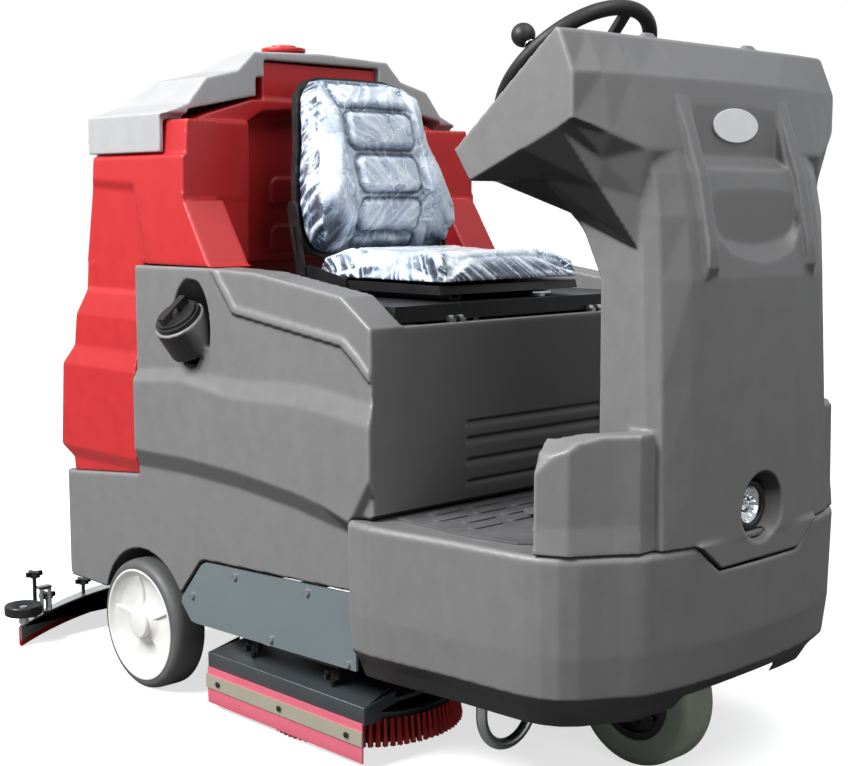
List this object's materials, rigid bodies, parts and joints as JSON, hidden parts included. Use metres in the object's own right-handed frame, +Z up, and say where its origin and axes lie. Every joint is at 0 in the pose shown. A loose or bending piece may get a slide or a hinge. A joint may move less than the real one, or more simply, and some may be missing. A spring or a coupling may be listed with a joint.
{
  "type": "ride-on scrubber",
  "caption": "Ride-on floor scrubber with grey body, red rear tank, driver's seat, steering wheel, disc brushes and a curved rear squeegee.",
  "frame": {"origin": "on the ground under the centre of the whole machine's box", "axes": "+X to the driver's left, +Y to the rear, +Z up; the driver faces -Y"},
  "size_m": [1.094, 2.0666, 1.4992],
  "materials": {
    "body_grey": "satin",
    "tank_red": "satin",
    "lid_grey": "satin",
    "cap_red": "satin",
    "mat_rubber": "matte",
    "black_plastic": "satin",
    "display_glass": "gloss",
    "badge_grey": "satin",
    "lens_clear": "gloss",
    "panel_paint": "satin",
    "frame_paint": "satin",
    "bright_steel": "brushed",
    "battery_case": "matte",
    "hose_black": "satin",
    "seat_vinyl": "satin",
    "tyre_grey": "matte",
    "tyre_green": "matte",
    "rim_white": "satin",
    "skirt_pink": "satin",
    "strip_beige": "satin",
    "brush_red": "matte"
  },
  "bodies": {
    "chassis": {"chassis_frame": "frame_paint", "front_body": "body_grey", "floor_mat": "mat_rubber", "column_fairing": "body_grey", "dash_panel": "black_plastic", "dash_display": "display_glass", "badge_plate": "badge_grey", "headlight_bezel": "black_plastic", "headlight_lens": "lens_clear", "solution_tank": "body_grey", "recovery_tank": "tank_red", "side_panels": "panel_paint", "panel_screws": "bright_steel", "battery_pack": "battery_case", "vacuum_motor": "bright_steel", "rear_axle": "bright_steel", "seat_hinge_base": "bright_steel", "drain_hose": "hose_black", "steering_column": "bright_steel", "guide_bar": "bright_steel", "steering_chain": "bright_steel", "suction_port": "black_plastic"},
    "lid": {"tank_lid": "lid_grey"},
    "lid_cap": {"lid_cap": "cap_red"},
    "filler_cap": {"filler_cap": "black_plastic"},
    "seat_base": {"seat_plate": "frame_paint", "seat_rails": "frame_paint"},
    "seat_frame": {"seat_pan": "black_plastic", "seat_cushion": "seat_vinyl"},
    "slide_lever": {"slide_lever": "bright_steel"},
    "backrest": {"backrest_shell": "black_plastic", "backrest_cushion": "seat_vinyl"},
    "steering_wheel": {"steering_wheel": "black_plastic"},
    "spinner_knob": {"spinner_knob": "black_plastic"},
    "drive_unit": {"drive_fork": "frame_paint", "drive_motor": "frame_paint"},
    "front_wheel": {"front_tyre": "tyre_green", "front_hub": "frame_paint"},
    "rear_wheel_left": {"rear_tyre_left": "tyre_grey", "rear_rim_left": "rim_white"},
    "rear_wheel_right": {"rear_tyre_right": "tyre_grey", "rear_rim_right": "rim_white"},
    "brush_deck": {"brush_deck": "frame_paint", "deck_skirts": "skirt_pink", "skirt_strips": "strip_beige", "deck_knobs": "black_plastic", "brush_motors": "bright_steel"},
    "brush_left": {"brush_left": "brush_red"},
    "brush_right": {"brush_right": "brush_red"},
    "squeegee_arm": {"squeegee_arm": "frame_paint"},
    "squeegee": {"squeegee_bar": "bright_steel", "squeegee_blades": "skirt_pink", "squeegee_knobs": "black_plastic"},
    "roller_left": {"roller_left": "black_plastic"},
    "roller_right": {"roller_right": "black_plastic"},
    "accelerator_pedal": {"accelerator_pedal": "mat_rubber"},
    "brake_pedal": {"brake_pedal": "mat_rubber"},
    "key_switch": {"key_switch": "bright_steel"},
    "emergency_stop": {"emergency_stop": "cap_red"},
    "direction_switch": {"direction_switch": "black_plastic"}
  },
  "joints": [
    {"name": "lid_hinge", "type": "hinge", "parent": "chassis", "child": "lid", "pos_m": [0, 0.588, 1.22], "axis": [-1, 0, 0], "range_deg": [0, 80]},
    {"name": "lid_cap_twist", "type": "hinge", "parent": "lid", "child": "lid_cap", "pos_m": [-0.07, 0.274, 1.46], "axis": [0, 0, 1], "range_deg": [0, 90]},
    {"name": "filler_cap_twist", "type": "hinge", "parent": "chassis", "child": "filler_cap", "pos_m": [-0.446, 0.118, 0.806], "axis": [-0.6123, -0.0644, 0.788], "range_deg": [0, 90]},
    {"name": "seat_plate_hinge", "type": "hinge", "parent": "chassis", "child": "seat_base", "pos_m": [0, -0.444, 0.884], "axis": [1, 0, 0], "range_deg": [0, 50]},
    {"name": "seat_slide", "type": "slide", "parent": "seat_base", "child": "seat_frame", "axis": [0, 1, 0], "range_m": [-0.06, 0.04]},
    {"name": "slide_lever_turn", "type": "hinge", "parent": "seat_frame", "child": "slide_lever", "pos_m": [0.089, -0.4, 0.9185], "axis": [-1, 0, 0], "range_deg": [0, 12], "stiffness_Nm_per_rad": 0.4},
    {"name": "backrest_recline", "type": "hinge", "parent": "seat_frame", "child": "backrest", "pos_m": [0, 0.026, 0.952], "axis": [-1, 0, 0], "range_deg": [-10, 5]},
    {"name": "fork_steer", "type": "hinge", "parent": "chassis", "child": "drive_unit", "pos_m": [0, -0.766, 0.3], "axis": [0, 0, 1], "range_deg": [-80, 80]},
    {"name": "front_wheel_spin", "type": "hinge", "parent": "drive_unit", "child": "front_wheel", "pos_m": [0, -0.766, 0.142], "axis": [1, 0, 0], "continuous": true},
    {"name": "steering_wheel_turn", "type": "hinge", "parent": "chassis", "child": "steering_wheel", "pos_m": [0, -0.682, 1.247], "axis": [0, 0.682, 0.7314], "range_deg": [-352, 352]},
    {"name": "spinner_knob_spin", "type": "hinge", "parent": "steering_wheel", "child": "spinner_knob", "pos_m": [-0.1644, -0.5937, 1.4108], "axis": [0, 0.682, 0.7314], "continuous": true},
    {"name": "rear_wheel_left_spin", "type": "hinge", "parent": "chassis", "child": "rear_wheel_left", "pos_m": [-0.438, 0.314, 0.15], "axis": [1, 0, 0], "continuous": true},
    {"name": "rear_wheel_right_spin", "type": "hinge", "parent": "chassis", "child": "rear_wheel_right", "pos_m": [0.438, 0.314, 0.15], "axis": [1, 0, 0], "continuous": true},
    {"name": "deck_lift", "type": "slide", "parent": "chassis", "child": "brush_deck", "axis": [0, 0, 1], "range_m": [0, 0.055]},
    {"name": "brush_left_spin", "type": "hinge", "parent": "brush_deck", "child": "brush_left", "pos_m": [-0.222, -0.176, 0.07], "axis": [0, 0, 1], "continuous": true},
    {"name": "brush_right_spin", "type": "hinge", "parent": "brush_deck", "child": "brush_right", "pos_m": [0.222, -0.176, 0.07], "axis": [0, 0, 1], "continuous": true},
    {"name": "squeegee_swing", "type": "hinge", "parent": "chassis", "child": "squeegee_arm", "pos_m": [0, 0.552, 0.19], "axis": [0, 0, 1], "range_deg": [-14, 14]},
    {"name": "squeegee_lift", "type": "hinge", "parent": "squeegee_arm", "child": "squeegee", "pos_m": [0, 0.734, 0.164], "axis": [1, 0, 0], "range_deg": [0, 12]},
    {"name": "roller_left_spin", "type": "hinge", "parent": "squeegee", "child": "roller_left", "pos_m": [-0.5, 0.81, 0.09], "axis": [0, 0, 1], "continuous": true},
    {"name": "roller_right_spin", "type": "hinge", "parent": "squeegee", "child": "roller_right", "pos_m": [0.5, 0.81, 0.09], "axis": [0, 0, 1], "continuous": true},
    {"name": "accelerator_pedal_press", "type": "hinge", "parent": "chassis", "child": "accelerator_pedal", "pos_m": [-0.188, -0.713, 0.464], "axis": [1, 0, 0], "range_deg": [0, 6], "stiffness_Nm_per_rad": 6},
    {"name": "brake_pedal_press", "type": "hinge", "parent": "chassis", "child": "brake_pedal", "pos_m": [0.188, -0.713, 0.464], "axis": [1, 0, 0], "range_deg": [0, 6], "stiffness_Nm_per_rad": 6},
    {"name": "key_turn", "type": "hinge", "parent": "chassis", "child": "key_switch", "pos_m": [0.175, -0.7754, 1.329], "axis": [0, -0.6414, -0.7672], "range_deg": [0, 90]},
    {"name": "emergency_stop_press", "type": "slide", "parent": "chassis", "child": "emergency_stop", "axis": [0, -0.6414, -0.7672], "range_m": [0, 0.005], "stiffness_N_per_m": 400},
    {"name": "direction_switch_rock", "type": "hinge", "parent": "chassis", "child": "direction_switch", "pos_m": [-0.18, -0.7079, 1.2725], "axis": [1, 0, 0], "range_deg": [-8, 8]}
  ],
  "couplings": [
    {"joint": "steering_wheel_turn", "follows": "fork_steer", "ratio": 4.4}
  ]
}
